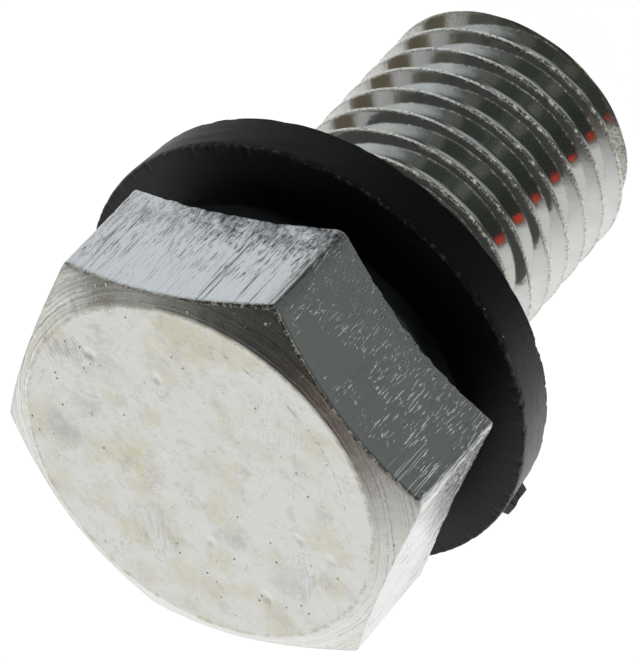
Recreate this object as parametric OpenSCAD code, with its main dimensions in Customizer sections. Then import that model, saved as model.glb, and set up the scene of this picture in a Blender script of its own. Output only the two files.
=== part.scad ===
// Oil drain plug: a plated hexagon-head bolt with a fine right-hand thread and a rubber
// sealing washer. The washer's sealing face lies on Z = 0, the thread points down and the
// head is up. One corner of the hexagon is on +X, so two of its flats face +Y and -Y.

/* [Head] */
// Width of the hexagon across its flats
head_af = 17; // [16:0.5:22]
// Height of the hexagon at its corners, without the washer face
head_h = 6.15; // [4:0.05:10]
// How far the outer chamfer reaches inside the flats
chamfer_inset = 0.53; // [0.1:0.01:1.5]
// Slope of the outer chamfer
chamfer_angle = 30; // [15:1:40]
// Height of the bevel on the hexagon's back corners
back_bevel_h = 0.2; // [0.1:0.05:1.2]
// Depth of that bevel, measured inwards from the corners
back_bevel_depth = 0.2; // [0.1:0.05:0.6]
// How far the hexagon's back is dished, from its corners to the washer face
back_dish = 0.6; // [0.1:0.05:1]

/* [Washer face] */
// How far the round washer face lies inside the flats
collar_inset = 0.65; // [0.3:0.05:0.7]
// Height of the washer face, up to the hexagon's corners
collar_h = 1.1; // [0.4:0.1:2]
// Height of the cone between the washer face and the neck
seat_h = 0.8; // [0.3:0.05:0.9]

/* [Shank] */
// Nominal diameter of the thread and of the plain neck
thread_d = 12; // [10:0.5:12.5]
// Pitch of the thread
thread_pitch = 1.5; // [1:0.05:1.75]
// How much the thread's crest is under the nominal diameter
crest_under = 0.15; // [0.05:0.01:0.3]
// Length of the plain neck inside the sealing washer
neck_h = 1.2; // [0.4:0.1:1.4]
// Length of thread below the sealing face
thread_l = 14.8; // [8:0.1:30]
// Height of the chamfer on the tip
tip_chamfer_h = 0.65; // [0.3:0.05:1]
// Depth of that chamfer, measured inwards
tip_chamfer_depth = 0.95; // [0.3:0.05:1.3]
// Direction in which the thread's crest leaves the tip
thread_start = 315; // [0:5:355]

/* [Sealing washer] */
// Outer diameter of the rubber washer, on the side of the head
seal_d = 20.2; // [18:0.1:26]
// How much smaller its radius is at the sealing face
seal_lean = 0.18; // [0.02:0.02:0.4]
// Thickness of the rubber washer
seal_t = 2.25; // [1.5:0.05:4]
// Radial play between the washer's bore and the neck
seal_play = 0.05; // [0.02:0.01:0.2]
// Radius on the rim's two edges
seal_edge_r = 0.15; // [0.05:0.05:0.5]
// Width of the moulding nub on the rim
nub_w = 0.95; // [0.4:0.05:2]
// How far the nub stands out of the rim
nub_out = 0.35; // [0.1:0.05:1]
// Height of the nub, up from the sealing face's edge
nub_h = 1.1; // [0.4:0.1:1.3]
// Direction of the nub
nub_angle = -161; // [-180:1:180]

/* [Hidden] */

// How smooth the round surfaces are drawn
round_fn = 96;
// Overlap where one solid is cut or joined past a face
past = 1;

// Head, from its back plane up to its outer face
neck_r = thread_d / 2;
seat_top_z = seal_t + seat_h;
head_back_z = seat_top_z + collar_h;
head_top_z = head_back_z + head_h;
dish_z = head_back_z + back_dish;
corner_r = head_af / sqrt(3);
flat_face_r = head_af / 2 - chamfer_inset;
chamfer_h = (corner_r - flat_face_r) * tan(chamfer_angle);
collar_r = head_af / 2 - collar_inset;
seat_r = neck_r + seat_h;

// Shank
tip_z = -thread_l;
neck_z = seal_t - neck_h;
crest_r = (thread_d - crest_under) / 2;
sharp_h = thread_pitch * sqrt(3) / 2;
runout_r = neck_r - 5 / 16 * sharp_h;
runout_h = thread_pitch;
tip_r = crest_r - tip_chamfer_depth;

// One pitch of the thread: place along the axis in pitches, depth in heights of the
// sharp triangle. It is the crest's two edges and three points round the root.
groove = [[0, 0], [1 / 8, 0], [7 / 16, 5 / 8], [9 / 16, 17 / 24], [11 / 16, 5 / 8]];
points_per_pitch = len(groove);
sides = 48;
// The rows start one turn below the tip, and those past an end fold onto its flat face
turns = ceil((neck_z - tip_z) / thread_pitch) + 1;
rows = turns * points_per_pitch;
// How fast the folded rows close in on the axis
fold = 1.2;
// The flat ends fan out from a point beside the axis, in front of the step in their rim
fan_r = 1;

// Height and groove depth of row k at side i, before the ends are folded
function row_z(k, i) = tip_z
    + (floor(k / points_per_pitch) - 1 + groove[k % points_per_pitch][0] + i / sides)
    * thread_pitch;
function row_depth(k) = groove[k % points_per_pitch][1] * sharp_h;

// The thread sinks into a plain cylinder over the run-out below the neck
function runout(z) = min(1, max(0, (neck_z - z) / runout_h));
function threaded_r(k, z) = runout_r + (crest_r - row_depth(k) - runout_r) * runout(z);
function tip_cone_r(z) = tip_r + (z - tip_z) * tip_chamfer_depth / tip_chamfer_h;
function shank_r(k, z) = min(threaded_r(k, z), tip_cone_r(z));

// Rows past an end lie in the end's plane, each nearer the axis than the last
function shank_point(k, i) =
    let (
        z = row_z(k, i),
        r = z < tip_z ? tip_r - (tip_z - z) * fold
            : z > neck_z ? runout_r - (z - neck_z) * fold
            : shank_r(k, z),
        a = thread_start + 360 * i / sides
    )
    [r * cos(a), r * sin(a), min(neck_z, max(tip_z, z))];

// The first column is one pitch longer, because the last side joins it a pitch higher
function shank_index(k, i) = i == 0 ? k
    : i == sides ? k + points_per_pitch
    : rows + points_per_pitch + 1 + (i - 1) * (rows + 1) + k;

function fan_point(z, a) = [fan_r * cos(a), fan_r * sin(a), z];

module shank() {
    points = concat(
        [for (k = [0 : rows + points_per_pitch]) shank_point(k, 0)],
        [for (i = [1 : sides - 1], k = [0 : rows]) shank_point(k, i)],
        [fan_point(tip_z, thread_start - 90), fan_point(neck_z, thread_start + 90)]
    );
    tip_centre = len(points) - 2;
    neck_centre = len(points) - 1;
    wall = [for (i = [0 : sides - 1], k = [0 : rows - 1], half = [0, 1])
        half == 0
            ? [shank_index(k, i), shank_index(k + 1, i), shank_index(k, i + 1)]
            : [shank_index(k + 1, i), shank_index(k + 1, i + 1), shank_index(k, i + 1)]];
    tip_rim = concat(
        [for (i = [0 : sides]) shank_index(0, i)],
        [for (k = [points_per_pitch - 1 : -1 : 0]) k]
    );
    neck_rim = concat(
        [for (i = [0 : sides]) shank_index(rows, i)],
        [for (k = [rows + points_per_pitch - 1 : -1 : rows]) k]
    );
    tip_cap = [for (n = [0 : len(tip_rim) - 2]) [tip_centre, tip_rim[n], tip_rim[n + 1]]];
    neck_cap = [for (n = [0 : len(neck_rim) - 2])
        [neck_centre, neck_rim[n + 1], neck_rim[n]]];
    polyhedron(points, concat(wall, tip_cap, neck_cap));
}

// Hexagon with its outer corners turned down by a cone, its back dished and its back
// corners bevelled
module hexagon() {
    intersection() {
        translate([0, 0, head_back_z])
            cylinder(r = corner_r, h = head_h, $fn = 6);
        rotate_extrude($fn = round_fn)
            polygon([
                [0, dish_z],
                [collar_r, dish_z],
                [corner_r - back_bevel_depth, head_back_z],
                [corner_r, head_back_z + back_bevel_h],
                [corner_r + past, head_back_z + back_bevel_h],
                [corner_r + past, head_top_z - chamfer_h - past * tan(chamfer_angle)],
                [flat_face_r, head_top_z],
                [0, head_top_z]
            ]);
    }
}

// Washer face, seat cone and plain neck, turned in one profile
module underhead() {
    rotate_extrude($fn = round_fn)
        polygon([
            [0, neck_z],
            [neck_r, neck_z],
            [neck_r, seal_t],
            [seat_r, seat_top_z],
            [collar_r, seat_top_z],
            [collar_r, dish_z],
            [0, dish_z]
        ]);
}

module plug_body() {
    color([0.78, 0.79, 0.78]) union() {
        hexagon();
        underhead();
        shank();
    }
}

// Ring with a leaning rim, rounded at its two edges, and the nub where the mould was filled
module sealing_washer() {
    rim_r = seal_d / 2 - seal_edge_r;
    foot_r = rim_r - seal_lean;
    color([0.09, 0.09, 0.10]) union() {
        difference() {
            union() {
                rotate_extrude($fn = round_fn)
                    polygon([
                        [0, 0],
                        [foot_r, 0],
                        [foot_r + seal_edge_r, seal_edge_r],
                        [rim_r + seal_edge_r, seal_t - seal_edge_r],
                        [rim_r, seal_t],
                        [0, seal_t]
                    ]);
                for (edge = [[foot_r, seal_edge_r], [rim_r, seal_t - seal_edge_r]])
                    translate([0, 0, edge[1]])
                        rotate_extrude($fn = round_fn)
                            translate([edge[0], 0])
                                circle(r = seal_edge_r, $fn = 24);
            }
            translate([0, 0, -past])
                cylinder(r = neck_r + seal_play, h = seal_t + 2 * past, $fn = round_fn);
        }
        rotate([0, 0, nub_angle])
            translate([foot_r - past, -nub_w / 2, seal_edge_r])
                cube([past + seal_edge_r + seal_lean + nub_out, nub_w, nub_h]);
    }
}

plug_body();
sealing_washer();
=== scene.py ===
import math

import bpy
import numpy as np
from mathutils import Matrix, Vector, noise


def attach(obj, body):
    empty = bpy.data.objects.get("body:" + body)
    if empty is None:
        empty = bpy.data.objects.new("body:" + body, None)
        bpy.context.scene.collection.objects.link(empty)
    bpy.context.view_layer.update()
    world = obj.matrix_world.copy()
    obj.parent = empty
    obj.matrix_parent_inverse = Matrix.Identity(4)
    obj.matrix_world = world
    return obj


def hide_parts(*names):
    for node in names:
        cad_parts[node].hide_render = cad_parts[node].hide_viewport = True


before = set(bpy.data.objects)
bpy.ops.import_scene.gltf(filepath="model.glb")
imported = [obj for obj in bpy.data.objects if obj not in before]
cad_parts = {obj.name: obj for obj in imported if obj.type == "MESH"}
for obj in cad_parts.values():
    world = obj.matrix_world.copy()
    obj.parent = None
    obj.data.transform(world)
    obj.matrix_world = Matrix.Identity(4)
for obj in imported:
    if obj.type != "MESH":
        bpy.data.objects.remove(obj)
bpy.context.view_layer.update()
mm = 0.001


# Camera: it looks at a point beside the axis, turned about its own line of sight
view = {
    "azimuth": 17.378,
    "elevation": 39.636,
    "roll": 137.881,
    "distance": 222.15,
    "aim": (0.179, 0.056, 0.806),
    "lens": 300.58,
}


def skyward(azimuth, elevation):
    a, e = math.radians(azimuth), math.radians(elevation)
    return Vector((math.sin(a) * math.cos(e), -math.cos(a) * math.cos(e), math.sin(e)))


def makeCamera():
    back = skyward(view["azimuth"], view["elevation"])
    level = Vector((0, 0, 1)).cross(back).normalized()
    upright = back.cross(level)
    roll = math.radians(view["roll"])
    up = upright * math.cos(roll) + level * math.sin(roll)
    turn = Matrix((up.cross(back), up, back)).transposed().to_4x4()
    data = bpy.data.cameras.new("camera")
    data.lens = view["lens"]
    data.sensor_width = 36
    data.clip_start = 0.01
    camera = bpy.data.objects.new("camera", data)
    place = (Vector(view["aim"]) + back * view["distance"]) * mm
    camera.matrix_world = Matrix.Translation(place) @ turn
    bpy.context.collection.objects.link(camera)
    bpy.context.scene.camera = camera


makeCamera()
print("camera placed")


# Short forms for building node trees
class Bench:
    def __init__(self, tree):
        self.tree = tree

    def wire(self, socket, value):
        if isinstance(value, bpy.types.NodeSocket):
            self.tree.links.new(value, socket)
        elif value is not None:
            socket.default_value = value

    def node(self, kind, inputs=(), **settings):
        made = self.tree.nodes.new(kind)
        for name, value in settings.items():
            setattr(made, name, value)
        for name, value in dict(inputs).items():
            self.wire(made.inputs[name], value)
        return made

    def math(self, operation, *values):
        made = self.node("ShaderNodeMath", operation=operation)
        for k, value in enumerate(values):
            self.wire(made.inputs[k], value)
        return made.outputs[0]

    def vector(self, operation, *values):
        made = self.node("ShaderNodeVectorMath", operation=operation)
        for k, value in enumerate(values):
            self.wire(made.inputs[k], value)
        return made.outputs["Value" if operation in ("LENGTH", "DOT_PRODUCT", "DISTANCE") else 0]

    def ramp(self, value, low, high, start=0.0, end=1.0, smooth=True):
        made = self.node("ShaderNodeMapRange", interpolation_type="SMOOTHSTEP" if smooth else "LINEAR")
        for name, number in (("Value", value), ("From Min", low), ("From Max", high),
                             ("To Min", start), ("To Max", end)):
            self.wire(made.inputs[name], number)
        return made.outputs[0]

    def noise(self, place, scale, detail=3.0, roughness=0.5, stretch=None, seed=0.0):
        if stretch or seed:
            place = self.node("ShaderNodeMapping", {"Vector": place, "Scale": stretch or (1, 1, 1),
                                                    "Location": (seed, seed * 0.7, seed * 1.3)}).outputs[0]
        made = self.node("ShaderNodeTexNoise", {"Vector": place, "Scale": scale, "Detail": detail,
                                                "Roughness": roughness})
        return made.outputs[0]

    def mix(self, amount, first, second):
        made = self.node("ShaderNodeMix", data_type="RGBA")
        for name, value in (("Factor_Float", amount), ("A_Color", first), ("B_Color", second)):
            self.wire(next(s for s in made.inputs if s.identifier == name), value)
        return next(s for s in made.outputs if s.identifier == "Result_Color")

    def split(self, vector):
        return self.node("ShaderNodeSeparateXYZ", {"Vector": vector}).outputs

    def join(self, x, y, z):
        return self.node("ShaderNodeCombineXYZ", {"X": x, "Y": y, "Z": z}).outputs[0]


def makeMaterial(name, metallic, roughness, **values):
    material = bpy.data.materials.new(name)
    material.use_nodes = True
    bench = Bench(material.node_tree)
    shader = material.node_tree.nodes["Principled BSDF"]
    shader.inputs["Metallic"].default_value = metallic
    shader.inputs["Roughness"].default_value = roughness
    for socket, value in values.items():
        shader.inputs[socket].default_value = value
    objectPlace = bench.node("ShaderNodeTexCoord").outputs["Object"]
    place = bench.vector("SCALE", objectPlace)
    place.node.inputs["Scale"].default_value = 1000
    return material, bench, shader, place


# Zinc plating on the outer face of the head and on its chamfer
face = {
    "colour": (0.85, 0.855, 0.815, 1),
    "cream": (0.72, 0.68, 0.49, 1),
    "grey": (0.56, 0.56, 0.57, 1),
    "pit": (0.10, 0.10, 0.085, 1),
    "groove": (0.30, 0.27, 0.25, 1),
    "brim": (0.50, 0.47, 0.37, 1),
    "cornerB": (4.9, -8.5, 9.3),
    "paleStreak": (0.60, 0.59, 0.50, 1),
    "redStreak": (0.66, 0.44, 0.36, 1),
    "dried": (0.30, 0.29, 0.25, 1),
    "creamSpots": (
        (6.0, -4.2, 1.3, 0.75), (5.0, -4.6, 1.5, 0.8), (4.1, -5.9, 1.1, 0.6), (3.4, -6.6, 0.8, 0.5),
        (5.3, -3.1, 1.2, 0.5), (1.8, 2.8, 1.3, 0.85), (2.4, 4.0, 1.2, 0.6), (0.5, 5.6, 0.9, 0.5),
        (1.7, 1.4, 0.9, 0.5), (3.0, 0.1, 0.8, 0.6), (-0.5, -2.2, 0.7, 0.5), (-1.7, 0.5, 0.8, 0.5),
        (-1.3, 5.5, 1.1, 0.6), (-3.3, 6.3, 1.0, 0.5), (-3.7, 2.0, 1.0, 0.45), (-4.3, -3.7, 1.1, 0.5),
        (-5.4, -4.1, 0.8, 0.5), (-5.5, 5.3, 1.0, 0.35), (4.2, 1.4, 0.9, 0.5), (4.4, -2.0, 0.9, 0.4)),
    "greySpots": (
        (3.9, 4.9, 1.3, 0.7), (4.2, 3.0, 0.9, 0.55), (7.1, 2.1, 0.8, 0.5), (-0.3, 1.1, 0.6, 0.35),
        (-2.9, 0.7, 0.8, 0.6), (-0.6, -2.4, 0.5, 0.5), (5.6, 0.6, 1.0, 0.4), (6.9, -0.4, 0.7, 0.5),
        (-5.6, -0.4, 1.0, 0.45), (-6.8, 1.2, 0.8, 0.3)),
    "fans": ((5.6, 4.0, 1.6, 62), (6.9, 2.0, 1.5, 15), (-1.5, 4.4, 1.8, 30), (6.4, -1.1, 1.3, 70), (-5.8, -1.6, 1.6, 40), (0.4, -5.2, 2.4, 48)),
}


def spots(bench, place, centres):
    total = None
    for sx, sy, size, strength in centres:
        away = bench.vector("DISTANCE", place, (sx, sy, 10.3))
        spot = bench.ramp(away, size * 0.25, size, strength, 0)
        total = spot if total is None else bench.math("MAXIMUM", total, spot)
    return total


def plateFace():
    material, bench, shader, place = makeMaterial("plateFace", 1.0, 0.25)
    x, y, z = bench.split(place)
    stir = bench.node("ShaderNodeTexNoise", {"Vector": place, "Scale": 0.9, "Detail": 4.0, "Roughness": 0.65})
    stirred = bench.vector("SUBTRACT", stir.outputs["Color"], (0.5, 0.5, 0.5))
    stirred = bench.vector("MULTIPLY_ADD", stirred, (2.6, 2.6, 0), place)
    cloud = bench.noise(place, 0.45, 5, 0.6)
    mottle = bench.noise(place, 2.6, 4, 0.7, seed=21)
    cream = bench.math("MULTIPLY", spots(bench, stirred, face["creamSpots"]), bench.ramp(mottle, 0.30, 0.55, 0.35, 1))
    cream = bench.math("MAXIMUM", cream, bench.ramp(cloud, 0.47, 0.66, 0, 0.5))
    colour = bench.mix(cream, face["colour"], face["cream"])
    grey = bench.math("MULTIPLY", spots(bench, stirred, face["greySpots"]), bench.ramp(mottle, 0.35, 0.55, 0.5, 1))
    grey = bench.math("MAXIMUM", grey, bench.ramp(bench.noise(place, 1.3, 5, 0.7, seed=7), 0.52, 0.70, 0, 0.42))
    colour = bench.mix(grey, colour, face["grey"])

    # Thin outlines that dried stains left
    dried = bench.math("ABSOLUTE", bench.math("SUBTRACT", bench.noise(place, 1.5, 5, 0.7, seed=51), 0.5))
    dried = bench.math("MULTIPLY", bench.ramp(dried, 0.003, 0.012, 1, 0),
                       bench.ramp(bench.noise(place, 1.1, 3, 0.6, seed=53), 0.48, 0.62))
    colour = bench.mix(bench.math("MULTIPLY", dried, 0.42), colour, face["dried"])

    # Short scratches in a few directions, each in its own patch
    scored = None
    for fx, fy, size, turn in face["fans"]:
        away = bench.vector("DISTANCE", stirred, (fx, fy, 10.3))
        grainy = bench.node("ShaderNodeMapping", {"Vector": place, "Rotation": (0, 0, math.radians(turn))})
        hairs = bench.noise(grainy.outputs[0], 1.0, 3, 0.7, stretch=(1.0, 13, 1), seed=fx)
        hairs = bench.math("MULTIPLY", bench.ramp(away, size * 0.4, size, 1, 0), bench.ramp(hairs, 0.50, 0.66))
        scored = hairs if scored is None else bench.math("MAXIMUM", scored, hairs)
    stray = bench.noise(place, 1.0, 3, 0.7, stretch=(9, 1.3, 1), seed=11)
    scored = bench.math("MAXIMUM", scored, bench.ramp(stray, 0.68, 0.76, 0, 0.8))
    colour = bench.mix(bench.math("MULTIPLY", scored, 0.45), colour, face["grey"])

    # Pits, and a faint broken line that a washer left
    cells = bench.node("ShaderNodeTexVoronoi", {"Vector": place, "Scale": 2.0, "Randomness": 1.0})
    pitted = bench.ramp(cells.outputs["Distance"], 0.04, 0.13, 1, 0)
    pitted = bench.math("MULTIPLY", pitted, bench.ramp(bench.noise(place, 0.8, 2, 0.5, seed=3), 0.50, 0.60))
    radius = bench.vector("LENGTH", bench.join(x, y, 0.0))
    trace = bench.math("ABSOLUTE", bench.math("SUBTRACT", radius, bench.math("MULTIPLY_ADD", cloud, 0.5, 6.65)))
    trace = bench.math("MULTIPLY", bench.ramp(trace, 0.01, 0.05, 1, 0), bench.ramp(mottle, 0.48, 0.62))
    trace = bench.math("MULTIPLY", trace, bench.ramp(y, -4.0, -5.5))
    pitted = bench.math("MAXIMUM", pitted, bench.math("MULTIPLY", trace, 0.3))
    colour = bench.mix(bench.math("MULTIPLY", pitted, 0.75), colour, face["pit"])
    edge = bench.node("ShaderNodeAttribute", attribute_name="edge").outputs["Fac"]
    broken = bench.ramp(bench.noise(place, 4.0, 4, 0.7, seed=31), 0.40, 0.58, 1, 0.35)
    colour = bench.mix(bench.ramp(radius, 7.85, 8.1), colour, bench.mix(0.6, colour, (0.76, 0.76, 0.73, 1)))
    brim = bench.ramp(bench.math("ABSOLUTE", bench.math("SUBTRACT", radius, 7.93)), 0.03, 0.16, 0.7, 0)
    brim = bench.math("MULTIPLY", brim, bench.ramp(mottle, 0.42, 0.60, 0.12, 1))
    colour = bench.mix(brim, colour, face["brim"])
    wander = bench.math("MULTIPLY_ADD", cloud, 0.5, radius)
    groove = bench.noise(bench.join(bench.math("MULTIPLY", wander, 8.0), 0.0, 0.0), 1.3, 3, 0.65)
    groove = bench.math("MULTIPLY", bench.ramp(groove, 0.48, 0.62), bench.ramp(mottle, 0.36, 0.56, 0.1, 1))
    groove = bench.math("MULTIPLY", groove, bench.ramp(radius, 7.95, 8.15, 0, 0.5))
    colour = bench.mix(groove, colour, face["groove"])
    # Painted shade along the brow, carried by the edge attribute
    colour = bench.mix(bench.math("MULTIPLY", edge, broken), colour, (0.09, 0.088, 0.06, 1))
    # Painted glints: pale, non-metal specks along the brow
    glint = bench.noise(place, 3.2, 6, 0.85, seed=37)
    glint = bench.math("MULTIPLY", bench.ramp(glint, 0.51, 0.56, 0, 0.95), bench.ramp(edge, 0.15, 0.4))
    colour = bench.mix(glint, colour, (0.80, 0.79, 0.66, 1))
    # Pale streaks of the turning tool on the chamfer, also painted light: pale and partly non-metal, so they stay
    # light where the chamfer reflects dark
    streakAndLight = bench.math("MULTIPLY_ADD", bench.noise(place, 0.8, 3, 0.6, seed=45), 0.35, radius)
    streakAndLight = bench.noise(bench.join(bench.math("MULTIPLY", streakAndLight, 6.5), 0.0, 0.0), 1.1, 3, 0.65)
    streakAndLight = bench.math("MULTIPLY", bench.ramp(streakAndLight, 0.45, 0.60), bench.ramp(mottle, 0.34, 0.52, 0.35, 1))
    fromB = bench.vector("DISTANCE", place, face["cornerB"])
    streakAndLight = bench.math("MULTIPLY", streakAndLight, bench.ramp(fromB, 2.4, 4.2, 0.06, 0.75))
    streakAndLight = bench.math("MULTIPLY", streakAndLight, bench.ramp(radius, 7.9, 8.15))
    streakAndLight = bench.math("MULTIPLY", streakAndLight, bench.ramp(x, -4.2, -2.4))
    colour = bench.mix(streakAndLight, colour, bench.mix(bench.ramp(x, 3.4, 2.0), face["paleStreak"], face["redStreak"]))
    bench.wire(shader.inputs["Base Color"], colour)

    rings = bench.noise(bench.join(bench.math("MULTIPLY", radius, 9.0), 0.0, 0.0), 1.6, 4, 0.7)
    rings = bench.math("ADD", rings, bench.math("MULTIPLY", bench.noise(place, 3.0, 4, 0.7, seed=41), 0.5))
    turned = bench.math("MULTIPLY", rings, bench.ramp(radius, 7.75, 8.2, 0, 0.55))
    flatness = bench.ramp(radius, 7.8, 8.1, 0.6, 0.22)
    relief = bench.math("ADD", bench.math("MULTIPLY", bench.noise(place, 1.4, 6, 0.7, seed=5), flatness),
                        bench.math("MULTIPLY", scored, -0.4))
    relief = bench.math("ADD", relief, turned)
    relief = bench.math("SUBTRACT", relief, bench.math("MULTIPLY", pitted, 1.8))
    bench.wire(shader.inputs["Roughness"], bench.ramp(radius, 7.8, 8.05, 0.26, 0.11))
    bench.wire(shader.inputs["Metallic"], bench.math("SUBTRACT", 1.0, bench.math("MAXIMUM", glint, streakAndLight)))
    bump = bench.node("ShaderNodeBump", {"Height": relief, "Strength": 0.55, "Distance": 0.00005})
    bench.wire(shader.inputs["Normal"], bump.outputs[0])
    return material


# Zinc plating on the six flats, which were sheared along the axis
flats = {
    "colour": (0.82, 0.83, 0.82, 1),
    "dark": (0.12, 0.125, 0.12, 1),
    # The edge colour is painted shade for the brow and the back corners
    "edge": (0.11, 0.11, 0.075, 1),
}


def plateFlats():
    material, bench, shader, place = makeMaterial("plateFlats", 1.0, 0.15)
    x, y, z = bench.split(place)
    grain = bench.node("ShaderNodeAttribute", attribute_name="grain").outputs["Fac"]
    edge = bench.node("ShaderNodeAttribute", attribute_name="edge").outputs["Fac"]
    lines = bench.noise(place, 1.0, 5, 0.7, stretch=(5.5, 5.5, 0.2))
    fine = bench.noise(place, 1.0, 4, 0.7, stretch=(17, 17, 0.6), seed=4)
    rough = bench.noise(place, 6.5, 5, 0.75, stretch=(1, 1, 0.6), seed=9)

    # The back of the flats tore when they were sheared
    torn = bench.ramp(bench.math("ADD", z, bench.ramp(lines, 0.3, 0.7, -1.2, 1.2)), 6.4, 4.3)
    patchy = bench.ramp(bench.noise(place, 0.9, 3, 0.6, seed=2), 0.35, 0.6, 0.3, 1)
    torn = bench.math("MULTIPLY", torn, bench.math("MULTIPLY", patchy, grain))
    atC = bench.math("MULTIPLY", bench.ramp(bench.vector("DISTANCE", place, (-5.2, -8.3, 5.0)), 3.4, 1.8), bench.ramp(x, -4.8, -5.0))
    torn = bench.math("MAXIMUM", torn, bench.math("MULTIPLY", atC, 0.8))
    striped = bench.math("ADD", bench.math("MULTIPLY", lines, 0.9), bench.math("MULTIPLY", fine, 0.45))
    striped = bench.math("MULTIPLY", striped, grain)
    height = bench.math("ADD", striped, bench.math("MULTIPLY", rough, bench.math("MULTIPLY", torn, 2.2)))

    # Short welts that run along the axis, thicker towards the back
    welt = bench.noise(place, 1.0, 2, 0.55, stretch=(13, 13, 1.7), seed=15)
    herd = bench.noise(place, 0.55, 3, 0.6, seed=17)
    herd = bench.math("ADD", herd, bench.ramp(z, 9.5, 5.5, -0.10, 0.08, smooth=False))
    welt = bench.math("MULTIPLY", bench.ramp(welt, 0.57, 0.74), bench.ramp(herd, 0.42, 0.54))
    ribs = bench.noise(place, 1.0, 2, 0.5, stretch=(7.5, 7.5, 0.12), seed=47)
    ribs = bench.math("MULTIPLY", bench.ramp(ribs, 0.52, 0.60), bench.ramp(z, 6.6, 8.2))
    ribs = bench.math("MULTIPLY", ribs, bench.math("MULTIPLY", bench.ramp(x, -2.4, -3.2), bench.ramp(x, -4.9, -4.6)))
    welt = bench.math("ADD", welt, bench.math("MULTIPLY", ribs, 0.35))
    height = bench.math("ADD", height, bench.math("MULTIPLY", welt, 1.5))
    crumple = bench.noise(place, 1.0, 4, 0.65, stretch=(3.6, 3.6, 1.5), seed=43)
    height = bench.math("ADD", height, bench.math("MULTIPLY", crumple, bench.math("MULTIPLY", grain, 1.1)))
    height = bench.math("ADD", height, bench.math("MULTIPLY", bench.noise(place, 0.9, 2, 0.5, seed=19), 0.5))

    score = bench.math("MAXIMUM", bench.ramp(lines, 0.55, 0.66), bench.ramp(fine, 0.56, 0.68, 0, 0.75))
    scoreAndTornShade = bench.math("MULTIPLY", score, bench.math("MULTIPLY", grain, 0.8))
    # Painted shade in the torn hollows at the back and at the back of corner C, stronger towards -Y; it joins the
    # dark scoring lines
    side = bench.math("MULTIPLY_ADD", y, -0.16, -0.05)
    ragged = bench.math("MULTIPLY", bench.ramp(rough, 0.46, 0.60), bench.math("MULTIPLY", torn, bench.ramp(side, 0.0, 1.0, 0.45, 1.15)))
    scoreAndTornShade = bench.math("MAXIMUM", scoreAndTornShade, ragged)
    colour = bench.mix(scoreAndTornShade, flats["colour"], flats["dark"])
    # Painted shade along the brow and on the back corners, carried by the edge attribute
    broken = bench.ramp(bench.noise(place, 5.0, 4, 0.7, seed=33), 0.38, 0.60, 1, 0.4)
    colour = bench.mix(bench.math("MULTIPLY", edge, broken), colour, flats["edge"])
    bench.wire(shader.inputs["Base Color"], colour)
    bump = bench.node("ShaderNodeBump", {"Height": height, "Strength": 0.6, "Distance": 0.00004})
    bench.wire(shader.inputs["Normal"], bump.outputs[0])
    return material


# Plating on the turned surfaces under the head; its dark bluish colour is painted shade and painted reflection of the
# black washer
def plateTurned():
    material, bench, shader, place = makeMaterial("plateTurned", 1.0, 0.16)
    x, y, z = bench.split(place)
    bands = bench.noise(bench.join(bench.vector("LENGTH", bench.join(x, y, 0.0)), 0.0, z), 7.0, 3, 0.6)
    cloud = bench.ramp(bench.noise(place, 0.7, 4, 0.6), 0.4, 0.7, 0, 0.4)
    bench.wire(shader.inputs["Base Color"], bench.mix(cloud, (0.36, 0.40, 0.44, 1), (0.24, 0.27, 0.30, 1)))
    bump = bench.node("ShaderNodeBump", {"Height": bands, "Strength": 0.3, "Distance": 0.00002})
    bench.wire(shader.inputs["Normal"], bump.outputs[0])
    return material


# Plating on the thread: smooth flanks, and crests left rough by the rolling, with painted glints on the crests
def plateThread():
    material, bench, shader, place = makeMaterial("plateThread", 1.0, 0.09)
    crest = bench.node("ShaderNodeAttribute", attribute_name="crest").outputs["Fac"]
    grit = bench.noise(place, 8.0, 4, 0.7)
    cloud = bench.ramp(bench.noise(place, 0.9, 4, 0.6), 0.42, 0.68, 0, 0.35)
    colour = bench.mix(cloud, (0.81, 0.82, 0.80, 1), (0.64, 0.64, 0.59, 1))
    worn = bench.math("MULTIPLY", crest, bench.ramp(grit, 0.36, 0.54, 0.85, 0.0))
    colour = bench.mix(worn, colour, (0.16, 0.16, 0.11, 1))
    # Painted glints: pale, non-metal specks on the crests
    glint = bench.ramp(bench.noise(place, 4.0, 4, 0.75, seed=13), 0.50, 0.60, 0, 0.9)
    glint = bench.math("MULTIPLY", crest, glint)
    colour = bench.mix(glint, colour, (0.80, 0.78, 0.60, 1))
    z = bench.split(place)[2]
    # Olive mottling towards the tip, painted light: lighter and partly non-metal where the tip reflects dark
    tipMottle = bench.math("MULTIPLY", bench.ramp(z, -13.7, -14.3), bench.ramp(grit, 0.40, 0.60, 0.9, 0.2))
    colour = bench.mix(tipMottle, colour, (0.36, 0.36, 0.27, 1))
    bench.wire(shader.inputs["Base Color"], colour)
    bench.wire(shader.inputs["Metallic"], bench.math("SUBTRACT", 1.0, bench.math("MAXIMUM", glint, bench.math("MULTIPLY", tipMottle, 0.25))))
    height = bench.math("MULTIPLY", grit, bench.math("MULTIPLY_ADD", crest, 0.6, 0.015))
    swell = bench.noise(place, 1.2, 2, 0.5, seed=23)
    height = bench.math("ADD", height, bench.math("MULTIPLY", swell, 0.22))
    bump = bench.node("ShaderNodeBump", {"Height": height, "Strength": 0.8, "Distance": 0.00005})
    bench.wire(shader.inputs["Normal"], bump.outputs[0])
    return material


# Rubber of the sealing washer, with dust, a worn rim, a painted sheen on one side of the rim and a paler moulding
# line on its front edge
rubber = {
    "colour": (0.0035, 0.0035, 0.0035, 1),
    "worn": (0.0045, 0.0043, 0.005, 1),
    "rimSheen": (0.11, 0.11, 0.113, 1),
    "under": (0.045, 0.047, 0.043, 1),
    "line": (0.06, 0.054, 0.035, 1),
    "dust": (0.42, 0.41, 0.37, 1),
}


def aim(angle):
    return (math.cos(math.radians(angle)), math.sin(math.radians(angle)), 0)


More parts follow.
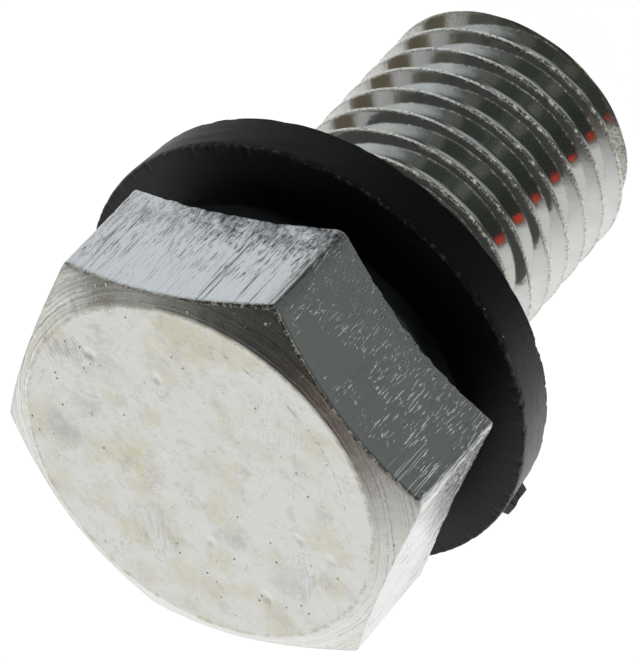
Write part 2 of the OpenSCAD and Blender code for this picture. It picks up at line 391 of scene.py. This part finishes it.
def blackRubber():
    material, bench, shader, place = makeMaterial("blackRubber", 0.0, 0.40, IOR=1.38)
    rim = bench.node("ShaderNodeAttribute", attribute_name="rim").outputs["Fac"]
    line = bench.node("ShaderNodeAttribute", attribute_name="line").outputs["Fac"]
    scuff = bench.noise(place, 1.0, 5, 0.75, stretch=(1.6, 1.6, 5.0))
    scuff = bench.math("MULTIPLY", bench.ramp(scuff, 0.35, 0.70, 0.3, 1.0), rim)
    colour = bench.mix(scuff, rubber["colour"], rubber["worn"])
    x, y, z = bench.split(place)
    # Painted sheen: the rim is lighter grey on its side towards -152 degrees
    toRight = bench.vector("DOT_PRODUCT", bench.vector("NORMALIZE", bench.join(x, y, 0.0)), aim(-152))
    colour = bench.mix(bench.math("MULTIPLY", bench.ramp(toRight, 0.83, 0.98), scuff), colour, rubber["rimSheen"])
    colour = bench.mix(bench.ramp(z, 0.1, 0.04), colour, rubber["under"])
    broken = bench.ramp(bench.noise(place, 2.6, 5, 0.75, seed=27), 0.48, 0.66)
    colour = bench.mix(bench.math("MULTIPLY", line, broken), colour, rubber["line"])
    specks = bench.node("ShaderNodeTexVoronoi", {"Vector": place, "Scale": 1.0, "Randomness": 1.0})
    dust = bench.ramp(specks.outputs["Distance"], 0.02, 0.05, 1, 0)
    dust = bench.math("MULTIPLY", dust, bench.ramp(bench.noise(place, 0.8, 2, 0.5, seed=6), 0.45, 0.55))
    bench.wire(shader.inputs["Base Color"], bench.mix(bench.math("MULTIPLY", dust, 0.6), colour, rubber["dust"]))
    shine = bench.vector("DOT_PRODUCT", bench.vector("NORMALIZE", bench.join(x, y, 0.0)), aim(-42))
    shine = bench.ramp(shine, 0.25, 0.9, 0.5, 0.12)
    bench.wire(shader.inputs["Specular IOR Level"], bench.mix(rim, (0.5, 0.5, 0.5, 1), shine))
    skin = bench.noise(place, 8.0, 5, 0.7, seed=8)
    bump = bench.node("ShaderNodeBump", {"Height": skin, "Strength": 0.5, "Distance": 0.00003})
    bench.wire(shader.inputs["Normal"], bump.outputs[0])
    return material


def buildMesh(name, points, faces, materials, sharpAngle=32):
    mesh = bpy.data.meshes.new(name)
    mesh.from_pydata([tuple(p) for p in points], [], faces)
    for material in materials:
        mesh.materials.append(material)
    mesh.polygons.foreach_set("use_smooth", [True] * len(mesh.polygons))
    mesh.update()
    mesh.set_sharp_from_angle(angle=math.radians(sharpAngle))
    piece = bpy.data.objects.new(name, mesh)
    bpy.context.collection.objects.link(piece)
    return piece


def filleted(corner, before, after, radius, count):
    c, b, a = Vector(corner), Vector(before), Vector(after)
    toB, toA = (b - c).normalized(), (a - c).normalized()
    half = math.acos(max(-1, min(1, toB.dot(toA)))) / 2
    reach = min(radius / math.tan(half), (b - c).length * 0.45, (a - c).length * 0.45)
    radius = reach * math.tan(half)
    centre = c + (toB + toA).normalized() * radius / math.sin(half)
    start, end = c + toB * reach - centre, c + toA * reach - centre
    turn = start.angle_signed(end)
    arc = []
    for k in range(count):
        t = -turn * k / (count - 1)
        arc.append(centre + Vector((start.x * math.cos(t) - start.y * math.sin(t),
                                    start.x * math.sin(t) + start.y * math.cos(t))))
    return arc


def straight(first, last, count):
    first, last = Vector(first), Vector(last)
    return [first.lerp(last, (k + 1) / (count + 1)) for k in range(count)]


# Head with its washer face, seat cone and neck, drawn as one profile for each direction.
# The lists hold one value for each corner, or for the flat that follows it, starting on +X.
head = {
    "acrossFlats": 17.0,
    "top": 10.3,
    "back": 4.15,
    "dish": 0.6,
    "bevel": 0.2,
    "faceRadius": 7.97,
    "chamferAngle": 30,
    "cornerRadius": (0.25, 0.35, 0.35, 0.3, 0.9, 0.14),
    "cornerRadiusBack": (0.3, 0.4, 0.4, 0.35, 0.42, 0.6),
    "cornerShade": (0.15, 0.2, 0.2, 0.1, 0.05, 0.3),
    "edgeShade": (0.35, 0.2, 0.3, 0.1, 0.55, 0.85),
    "grain": (0.7, 0.5, 0.6, 0.45, 0.12, 1.0),
    "burr": (240, 24, 0.36),
    "collarRadius": 7.85,
    "seatTop": 3.05,
    "seatRadius": 6.8,
    "neckRadius": 6.0,
    "neckTop": 2.25,
    "neckEnd": 1.05,
    "dents": (
        (6.3, 0.9, 0.30, 0.06), (4.3, -1.5, 0.26, 0.04), (-4.1, -2.6, 0.3, 0.03), (-5.3, -3.3, 0.26, 0.03),
        (-5.9, 1.2, 0.30, 0.05), (-2.9, 1.9, 0.28, 0.03)),
}
faceRings = 62
chamferRows = 10
wallRows = 46
cornerColumns = 14
flatColumns = 62
half = head["acrossFlats"] / 2


def cornerArc(radius):
    centre = (half - radius) / math.cos(math.radians(30))
    tangent = math.atan2(radius * math.sin(math.radians(30)), centre + radius * math.cos(math.radians(30)))
    return centre, tangent


def wallRadius(off, radius):
    centre, tangent = cornerArc(radius)
    if abs(off) > tangent:
        return half / math.cos(math.radians(30) - abs(off))
    return centre * math.cos(off) + math.sqrt(radius ** 2 - (centre * math.sin(off)) ** 2)


# Each column is its direction, its nearest corner, the angle off that corner and its flat
def headColumns():
    columns = []
    spread = cornerArc(0.6)[1]
    for k in range(6):
        corner = math.radians(60 * k)
        for n in range(cornerColumns):
            off = -spread + 2 * spread * n / cornerColumns
            columns.append((corner + off, k, off, k if off > 0 else (k - 1) % 6))
        limit = math.tan(math.radians(30) - spread)
        for n in range(flatColumns):
            t = math.atan(-limit + 2 * limit * n / flatColumns)
            near = k if t < 0 else (k + 1) % 6
            off = math.radians(30) + t if t < 0 else t - math.radians(30)
            columns.append((corner + math.radians(30) + t, near, off, k))
    return columns


def dented(x, y):
    drop = 0.012 * noise.noise(Vector((x, y, 3)) * 0.8)
    for dx, dy, size, depth in head["dents"]:
        wide = math.hypot(x - dx, y - dy) / size
        wide += 0.5 * noise.noise(Vector((x, y, 0)) * 3)
        drop -= depth * max(0.0, 1 - wide * wide)
    return min(0.0, drop)


# How far the shearing marks reach into a flat
def sheared(column, radius, z):
    angle, near, off, flat = column
    across = radius * math.sin(angle - math.radians(60 * flat + 30))
    grain = head["grain"][flat]
    lines = noise.noise(Vector((across * 2.6, flat * 5, z * 0.15))) * 0.012
    lines += noise.noise(Vector((across * 6.0, flat * 5, z * 0.4))) * 0.006
    wave = noise.noise(Vector((across * 0.5, flat * 7, z * 0.4))) * 0.02
    tear = max(0.0, noise.fractal(Vector((across * 3.0, flat * 3, z * 2.0)), 0.7, 2.0, 4))
    depth = min(1.0, max(0.0, (6.6 - z) / 1.6)) * tear * 0.10
    return max(0.0, (lines + depth) * grain + wave * 0.6 + 0.008)


def headProfile(column):
    angle, near, off, flat = column
    side = Vector((math.cos(angle), math.sin(angle), 0))
    front, rear = head["cornerRadius"][near], head["cornerRadiusBack"][near]
    radius, backRadius = wallRadius(off, front), wallRadius(off, rear)
    top, slope = head["top"], math.tan(math.radians(head["chamferAngle"]))
    chamferEnd = top - (radius - head["faceRadius"]) * slope
    tear = noise.fractal(side * 14, 0.7, 2.2, 5) * 0.07 + noise.noise(side * 45) * 0.03
    reach = half / math.cos(math.radians(30)) - backRadius
    dish = head["dish"] / (half / math.cos(math.radians(30)) - head["bevel"] - head["collarRadius"])
    backEdge = head["back"] - 0.05 + reach * dish + tear * min(1.0, reach)
    burrAt, burrWide, burrDeep = head["burr"]
    backEdge -= burrDeep * max(0.0, 1 - abs(math.degrees(angle) - burrAt) / burrWide) ** 1.5
    notch = backRadius - max(0.0, noise.fractal(side * 9 + Vector((3, 1, 0)), 0.8, 2.0, 4)) * 0.08 - 0.01
    wobble = 0.06 * noise.noise(side * 3.5) + 0.03 * noise.noise(side * 14)
    face, collar, dishTop = head["faceRadius"] + wobble, head["collarRadius"], head["back"] + head["dish"]
    seatTop = head["seatTop"]

    points = []
    for n in range(faceRings):
        r = face * 0.975 * (n + 1) / faceRings
        points.append(Vector((r, top + dented(r * side.x, r * side.y))))
    points += filleted((face, top), (0, top), (radius, chamferEnd), 0.35, 5)
    chamfer = straight((face + 0.08, top - 0.08 * slope), (radius - 0.05, chamferEnd + 0.05 * slope), chamferRows)
    points += [Vector((p.x, p.y - 0.006 * abs(noise.noise(Vector((p.x * 6, 0, 0)))))) for p in chamfer]
    points += filleted((radius, chamferEnd), (face, top), (radius, backEdge), 0.09 + 0.05 * noise.noise(side * 60), 5)
    start = chamferEnd - 0.1
    for n in range(wallRows):
        z = start + (backEdge + 0.18 - start) * n / (wallRows - 1)
        mix = min(1.0, max(0.0, (9.6 - z) / 4.6))
        r = wallRadius(off, front + (rear - front) * mix)
        points.append(Vector((r - sheared(column, r, z) * min(1.0, n / 2), z)))
    last = points[-1]
    points += filleted((notch, backEdge), (last.x, last.y), (collar, dishTop), 0.08, 7)
    points += straight((notch - 0.15, backEdge), (collar, dishTop), 3)
    points.append(Vector((collar, dishTop)))
    points += straight((collar, dishTop), (collar, seatTop + 0.1), 8)
    points += filleted((collar, seatTop), (collar, dishTop), (head["seatRadius"], seatTop), 0.07, 5)
    points.append(Vector((head["seatRadius"], seatTop)))
    points += straight((head["seatRadius"], seatTop), (head["neckRadius"], head["neckTop"]), 3)
    points.append(Vector((head["neckRadius"], head["neckTop"])))
    points += straight((head["neckRadius"], head["neckTop"]), (head["neckRadius"], head["neckEnd"]), 4)
    points.append(Vector((head["neckRadius"], head["neckEnd"])))
    points.append(Vector((head["neckRadius"] / 2, head["neckEnd"])))
    return points


def ringPoints(angle, row):
    return [(p.x * math.cos(angle) * mm, p.x * math.sin(angle) * mm, p.y * mm) for p in row]


def makeHead(materials):
    columns = headColumns()
    rows = [headProfile(column) for column in columns]
    count, rings = len(columns), len(rows[0])
    faceEnd = faceRings + 5 + chamferRows + 3
    wallEnd = faceRings + 5 + chamferRows + 5 + wallRows + 4
    points = [(0, 0, head["top"] * mm)]
    for column, row in zip(columns, rows):
        points += ringPoints(column[0], row)
    points.append((0, 0, head["neckEnd"] * mm))
    faces, slots = [], []
    for c in range(count):
        here, there = 1 + c * rings, 1 + (c + 1) % count * rings
        faces.append((0, here, there))
        slots.append(0)
        for n in range(rings - 1):
            faces.append((here + n, here + n + 1, there + n + 1, there + n))
            slots.append(0 if n < faceEnd else 1 if n < wallEnd else 2)
        faces.append((here + rings - 1, len(points) - 1, there + rings - 1))
        slots.append(2)
    piece = buildMesh("plug_head", points, faces, materials)
    piece.data.polygons.foreach_set("material_index", slots)
    grain = [head["grain"][flat] for angle, near, off, flat in columns for n in range(rings)]
    # The edge attribute is painted shade: edgeShade along the brow of each flat, cornerShade on the back corners
    edge = []
    brow = faceRings + 5 + chamferRows
    for angle, near, off, flat in columns:
        arc = cornerArc(head["cornerRadiusBack"][near])[1]
        onCorner = 1 - min(1.0, max(0.0, (abs(off) - arc) / arc))
        for n in range(rings):
            onBrow = 1.0 if brow <= n < brow + 5 else 0.35 if brow - 1 <= n < brow + 6 else 0.0
            onWall = 1.0 if n >= brow + 5 else 0.0
            edge.append(max(onBrow * head["edgeShade"][flat], onWall * onCorner * head["cornerShade"][near]))
    for name, values in (("grain", grain), ("edge", edge)):
        layer = piece.data.attributes.new(name, "FLOAT", "POINT")
        layer.data.foreach_set("value", [0.0] + values + [0.0])
    return piece


# Shank with its rolled thread, as one swept surface from the tip to the neck
shank = {
    "Crest radius": 5.925,
    "Pitch": 1.5,
    "Start angle": 210.0,
    "Tip height": -14.8,
    "Neck height": 1.05,
    "Run-out": 1.5,
    "Run-out radius": 5.594,
    "Crest land": 0.045,
    "Tip radius": 4.975,
    "Tip slope": 1.46,
    "Sides": 144,
    "Rows in a turn": 28,
    "Turns": 14,
}


def shankTree(material):
    tree = bpy.data.node_groups.new("rolledThread", "GeometryNodeTree")
    tree.interface.new_socket("Mesh", in_out="OUTPUT", socket_type="NodeSocketGeometry")
    for name, value in shank.items():
        kind = "NodeSocketInt" if isinstance(value, int) else "NodeSocketFloat"
        tree.interface.new_socket(name, in_out="INPUT", socket_type=kind).default_value = value
    bench = Bench(tree)
    size = bench.node("NodeGroupInput").outputs
    pitch = size["Pitch"]
    sharp = bench.math("MULTIPLY", pitch, math.sqrt(3) / 2)
    grid = bench.node("GeometryNodeMeshGrid", {
        "Size X": 1.0, "Size Y": 1.0,
        "Vertices X": bench.math("ADD", size["Sides"], 1.0),
        "Vertices Y": bench.math("ADD", bench.math("MULTIPLY", size["Rows in a turn"], size["Turns"]), 1.0)})
    x, y, z = bench.split(bench.node("GeometryNodeInputPosition").outputs[0])
    around = bench.math("ADD", x, 0.5)
    row = bench.math("MULTIPLY", bench.math("ADD", y, 0.5), size["Turns"])
    # Rows crowd together at the crest
    crowd = bench.math("MULTIPLY", bench.math("SINE", bench.math("MULTIPLY", row, math.tau)), 0.6 / math.tau)
    row = bench.math("SUBTRACT", row, crowd)
    height = bench.math("MULTIPLY_ADD", bench.math("SUBTRACT", bench.math("ADD", row, around), 2.0),
                        pitch, size["Tip height"])
    fromCrest = bench.math("PINGPONG", row, 0.5)
    # Past a narrow land the crest rounds off into the flank
    land = bench.math("MAXIMUM", bench.math("SUBTRACT", fromCrest, size["Crest land"]), 0.0)
    bend = bench.math("SUBTRACT", 1 / 16, size["Crest land"])
    reach = bench.math("SQRT", bench.math("ADD", bench.math("POWER", land, 2.0), bench.math("POWER", bend, 2.0)))
    flank = bench.math("MULTIPLY", bench.math("SUBTRACT", reach, bend), 2.1)
    depth = bench.math("SMOOTH_MIN", flank, 17 / 24, 0.12)
    bead = bench.join(bench.math("MULTIPLY", around, 230.0), bench.math("MULTIPLY", row, 14.0), 0.0)
    ragged = bench.math("MULTIPLY", bench.math("SUBTRACT", bench.noise(bead, 0.5, 3, 0.7), 0.5), 0.08)
    ragged = bench.math("MULTIPLY", bench.math("MAXIMUM", ragged, 0.0), bench.ramp(fromCrest, 0.03, 0.10, 1, 0))
    depth = bench.math("MULTIPLY", bench.math("ADD", depth, ragged), sharp)
    cut = bench.math("SUBTRACT", size["Crest radius"], depth)
    fade = bench.math("DIVIDE", bench.math("SUBTRACT", size["Neck height"], height), size["Run-out"])
    fade = bench.ramp(fade, 0.0, 1.0, smooth=False)
    radius = bench.math("MULTIPLY_ADD", bench.math("SUBTRACT", cut, size["Run-out radius"]), fade,
                        size["Run-out radius"])
    cone = bench.math("MULTIPLY_ADD", bench.math("SUBTRACT", height, size["Tip height"]), size["Tip slope"],
                      size["Tip radius"])
    radius = bench.math("SMOOTH_MIN", radius, cone, 0.03)
    # Rows past an end close in on the axis in the end's plane
    below = bench.math("MAXIMUM", bench.math("SUBTRACT", size["Tip height"], height), 0.0)
    above = bench.math("MAXIMUM", bench.math("SUBTRACT", height, size["Neck height"]), 0.0)
    past = bench.math("ADD", below, above)
    end = bench.node("GeometryNodeSwitch", {"Switch": bench.math("GREATER_THAN", below, 0.0),
                                            "False": radius, "True": size["Tip radius"]},
                     input_type="FLOAT").outputs[0]
    radius = bench.math("MAXIMUM", bench.math("SUBTRACT", end, bench.math("MULTIPLY", past, 4.0)), 0.0)
    height = bench.math("MINIMUM", bench.math("MAXIMUM", height, size["Tip height"]), size["Neck height"])
    turn = bench.math("RADIANS", bench.math("MULTIPLY_ADD", around, 360.0, size["Start angle"]))
    place = bench.join(bench.math("MULTIPLY", radius, bench.math("COSINE", turn)),
                       bench.math("MULTIPLY", radius, bench.math("SINE", turn)), height)
    place = bench.vector("SCALE", place)
    place.node.inputs["Scale"].default_value = mm
    crest = bench.ramp(fromCrest, 0.045, 0.10, 1.0, 0.0)
    marked = bench.node("GeometryNodeStoreNamedAttribute", {"Geometry": grid.outputs["Mesh"], "Name": "crest",
                                                            "Value": crest}, data_type="FLOAT", domain="POINT")
    moved = bench.node("GeometryNodeSetPosition", {"Geometry": marked.outputs[0], "Position": place})
    merged = bench.node("GeometryNodeMergeByDistance", {"Geometry": moved.outputs[0], "Distance": 1e-6})
    smooth = bench.node("GeometryNodeSetShadeSmooth", {"Geometry": merged.outputs[0]})
    plain = bench.node("GeometryNodeRealizeInstances", {"Geometry": smooth.outputs[0]})
    coated = bench.node("GeometryNodeSetMaterial", {"Geometry": plain.outputs[0], "Material": material})
    output = bench.node("NodeGroupOutput")
    tree.links.new(coated.outputs[0], output.inputs[0])
    return tree


def makeShank(material):
    base = bpy.data.objects.new("plug_thread", bpy.data.meshes.new("shankBase"))
    bpy.context.collection.objects.link(base)
    modifier = base.modifiers.new("rolledThread", "NODES")
    tree = shankTree(material)
    modifier.node_group = tree
    for item in tree.interface.items_tree:
        if item.in_out == "INPUT":
            modifier[item.identifier] = shank[item.name]
    graph = bpy.context.evaluated_depsgraph_get()
    mesh = bpy.data.meshes.new_from_object(base.evaluated_get(graph), preserve_all_data_layers=True,
                                           depsgraph=graph)
    base.modifiers.clear()
    base.data = mesh
    mesh.set_sharp_from_angle(angle=math.radians(50))
    return base


# Sealing washer: its rim leans, is a little out of round and has torn edges and the nub
seal = {
    "bore": 6.05,
    "rim": 10.14,
    "lean": 0.18,
    "thickness": 2.24,
    "shift": (-0.014, 0.12),
    "oval": (-0.04, -0.02),
    "edge": 0.12,
    "ragged": 0.04,
    "torn": (-132, 26, 0.10),
    "nubAngle": -161,
    "nubWidth": 0.85,
    "nubOut": 0.29,
    "nubRange": (0.15, 1.25),
    "columns": 720,
}
rimRows = 22
edgeRows = 6
frontRows = 26


def rimRadius(angle):
    x, y = math.cos(angle), math.sin(angle)
    shift, oval = seal["shift"], seal["oval"]
    return seal["rim"] + shift[0] * x + shift[1] * y + oval[0] * math.cos(2 * angle) + oval[1] * math.sin(2 * angle)


def sealProfile(angle):
    side = Vector((math.cos(angle), math.sin(angle), 0))
    tornAt, tornWide, tornDeep = seal["torn"]
    away = abs((math.degrees(angle) - tornAt + 180) % 360 - 180)
    bites = seal["ragged"] + tornDeep * max(0.0, 1 - (away / tornWide) ** 2)
    rag = max(0.0, noise.fractal(side * 26, 0.8, 2.1, 5)) * bites
    wave = max(0.0, noise.fractal(side * 11 + Vector((0, 0, 4)), 0.8, 2.0, 4)) * bites
    lip = max(0.0, noise.fractal(side * 30 + Vector((0, 7, 0)), 0.8, 2.0, 4)) * 0.04
    top, rim, bore = seal["thickness"], rimRadius(angle), seal["bore"]
    front, foot = (rim - rag, top - 0.01 - lip), (rim - seal["lean"] - wave, 0.0)
    fromNub = (angle - math.radians(seal["nubAngle"]) + math.pi) % math.tau - math.pi
    onNub = abs(fromNub) * rim < seal["nubWidth"] / 2
    low, high = seal["nubRange"]
    points = [Vector((bore, 0.0))] + straight((bore, 0.0), (bore, top), 4) + [Vector((bore, top - 0.01))]
    inner = (rim - 0.55, top - 0.01)
    points += straight((bore, top - 0.01), inner, frontRows - 5) + straight(inner, front, 5)
    points += filleted(front, (bore, top), foot, seal["edge"] + lip, edgeRows)
    for p in straight((rim, top - 0.16), (rim - seal["lean"], 0.12), rimRows):
        worn = 0.010 * noise.noise(Vector((side.x * 5, side.y * 5, p.y * 2.0)))
        out = seal["nubOut"] + worn * 6 if onNub and low < p.y < high else worn
        points.append(Vector((p.x + out, p.y)))
    points += filleted(foot, front, (bore, 0.0), seal["edge"] + wave, edgeRows)
    points += straight(foot, (bore, 0.0), 10)
    return points


def makeSeal(material):
    count = seal["columns"]
    rows = [sealProfile(math.tau * c / count) for c in range(count)]
    rings = len(rows[0])
    points, faces = [], []
    for c, row in enumerate(rows):
        points += ringPoints(math.tau * c / count, row)
        here, there = c * rings, (c + 1) % count * rings
        for n in range(rings):
            m = (n + 1) % rings
            faces.append((here + n, here + m, there + m, there + n))
    piece = buildMesh("sealing_ring", points, faces, [material], 40)
    edgeStart = 6 + frontRows
    rimStart = edgeStart + edgeRows
    rim = [1.0 if rimStart - 2 <= n < rimStart + rimRows + edgeRows else 0.0 for n in range(rings)]
    line = [1.0 if edgeStart <= n < rimStart else 0.0 for n in range(rings)]
    for name, values in (("rim", rim), ("line", line)):
        layer = piece.data.attributes.new(name, "FLOAT", "POINT")
        layer.data.foreach_set("value", values * count)
    return piece


headPiece = makeHead((plateFace(), plateFlats(), plateTurned()))
print("head built")
threadPiece = makeShank(plateThread())
print("thread built")
sealPiece = makeSeal(blackRubber())
print("sealing washer built")

for piece, node, slot in ((headPiece, "plug_body", "plated_steel"), (threadPiece, "plug_body", "plated_steel"),
                          (sealPiece, "sealing_washer", "black_rubber")):
    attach(piece, "root")
    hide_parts(node)


# Studio: a white tent, dark on the camera's side. The photograph's reflections show it brighter to
# the left of the camera than to the right, and the spots are things that they show in it. Each spot
# is its azimuth from the front, its elevation, its inner and outer radius and its colour.
tent = {
    "cameraSide": (17.4, 39.6),
    "right": ((0.0, 1.0), (0.17, 0.95), (0.27, 0.90), (0.34, 0.84), (0.40, 0.70), (0.45, 0.58), (0.52, 0.50),
              (0.60, 0.40), (0.68, 0.30), (0.745, 0.16), (0.78, 0.08), (0.81, 0.04), (0.86, 0.025), (1.0, 0.03)),
    "left": ((0.0, 1.0), (0.17, 0.95), (0.30, 0.90), (0.42, 0.83), (0.53, 0.74), (0.60, 0.66), (0.67, 0.50),
             (0.73, 0.38), (0.755, 0.20), (0.79, 0.11), (0.84, 0.06), (0.87, 0.025), (1.0, 0.03)),
    "spots": (
        (17, 2, 22, 45, (0.45, 0.46, 0.46)),
        (5, -45, 38, 58, (0.135, 0.145, 0.14)),
        (43, -40, 14, 26, (0.055, 0.058, 0.045)),
        (75, -16.5, 10, 20, (0.042, 0.048, 0.043)),
        (42, -22.5, 12, 20, (0.042, 0.048, 0.043)),
        (5, -19.5, 12, 22, (0.042, 0.048, 0.043)),
        (-28, -17.5, 12, 23, (0.03, 0.034, 0.03)),
        (54, -20.5, 2, 8, (0.11, 0.115, 0.10)),
        (11, -22.5, 2, 8, (0.11, 0.115, 0.10)),
        (106, -39, 25, 48, (0.64, 0.67, 0.71)),
        (140, 38, 4.5, 9, (0.105, 0.09, 0.062)),
        (119, 57, 3, 8, (0.08, 0.08, 0.065)),
        (88, 69, 3, 8, (0.07, 0.075, 0.065)),
        (1, 78, 3, 8, (0.07, 0.075, 0.065)),
        (-50, 76, 6, 13, (0.085, 0.055, 0.04)),
        (-73, 67, 3, 7, (0.12, 0.09, 0.075)),
        (-41, -17.5, 1.4, 4.4, (0.60, 0.055, 0.03))),
}


def shadeBand(bench, level, steps):
    made = bench.node("ShaderNodeValToRGB", {"Fac": level})
    band = made.color_ramp
    while len(band.elements) > 1:
        band.elements.remove(band.elements[-1])
    for k, (place, grey) in enumerate(steps):
        item = band.elements[0] if k == 0 else band.elements.new(place)
        item.position = place
        item.color = (grey, grey, grey, 1)
    return made.outputs[0]


def makeWorld():
    world = bpy.data.worlds.new("tent")
    bpy.context.scene.world = world
    world.use_nodes = True
    bench = Bench(world.node_tree)
    background = world.node_tree.nodes["Background"]
    direction = bench.vector("NORMALIZE", bench.node("ShaderNodeTexCoord").outputs["Generated"])
    toCamera = bench.vector("DOT_PRODUCT", direction, skyward(*tent["cameraSide"]))
    level = bench.math("MULTIPLY_ADD", toCamera, 0.5, 0.5)
    sideways = bench.vector("DOT_PRODUCT", direction, skyward(tent["cameraSide"][0] + 90, 0))
    toRight = bench.ramp(sideways, -0.30, 0.30)
    colour = bench.mix(toRight, shadeBand(bench, level, tent["left"]), shadeBand(bench, level, tent["right"]))
    for azimuth, elevation, inner, outer, tint in tent["spots"]:
        near = bench.vector("DOT_PRODUCT", direction, skyward(azimuth, elevation))
        amount = bench.ramp(near, math.cos(math.radians(outer)), math.cos(math.radians(inner)))
        colour = bench.mix(amount, colour, (*tint, 1))
    seen = bench.node("ShaderNodeLightPath").outputs["Is Camera Ray"]
    bench.wire(background.inputs["Color"], bench.mix(seen, colour, (1, 1, 1, 1)))
    background.inputs["Strength"].default_value = 1.0


makeWorld()


# The floor glows almost white by itself, and the light that it gets on top shows a faint shadow
def makeFloor():
    mesh = bpy.data.meshes.new("floor")
    s, z = 3.0, shank["Tip height"] * mm
    mesh.from_pydata([(-s, -s, z), (s, -s, z), (s, s, z), (-s, s, z)], [], [(0, 1, 2, 3)])
    floor = bpy.data.objects.new("floor", mesh)
    bpy.context.collection.objects.link(floor)
    material = bpy.data.materials.new("floorPaper")
    material.use_nodes = True
    bench = Bench(material.node_tree)
    nodes = material.node_tree.nodes
    nodes.remove(nodes["Principled BSDF"])
    paper = bench.node("ShaderNodeBsdfDiffuse", {"Color": (0.25, 0.25, 0.25, 1)})
    glow = bench.node("ShaderNodeEmission", {"Color": (0.955, 0.955, 0.955, 1), "Strength": 1.0})
    both = bench.node("ShaderNodeAddShader")
    bench.wire(both.inputs[0], paper.outputs[0])
    bench.wire(both.inputs[1], glow.outputs[0])
    bench.wire(nodes["Material Output"].inputs["Surface"], both.outputs[0])
    mesh.materials.append(material)
    floor.visible_glossy = False


makeFloor()
print("studio set")

bpy.context.scene.view_settings.view_transform = "Standard"
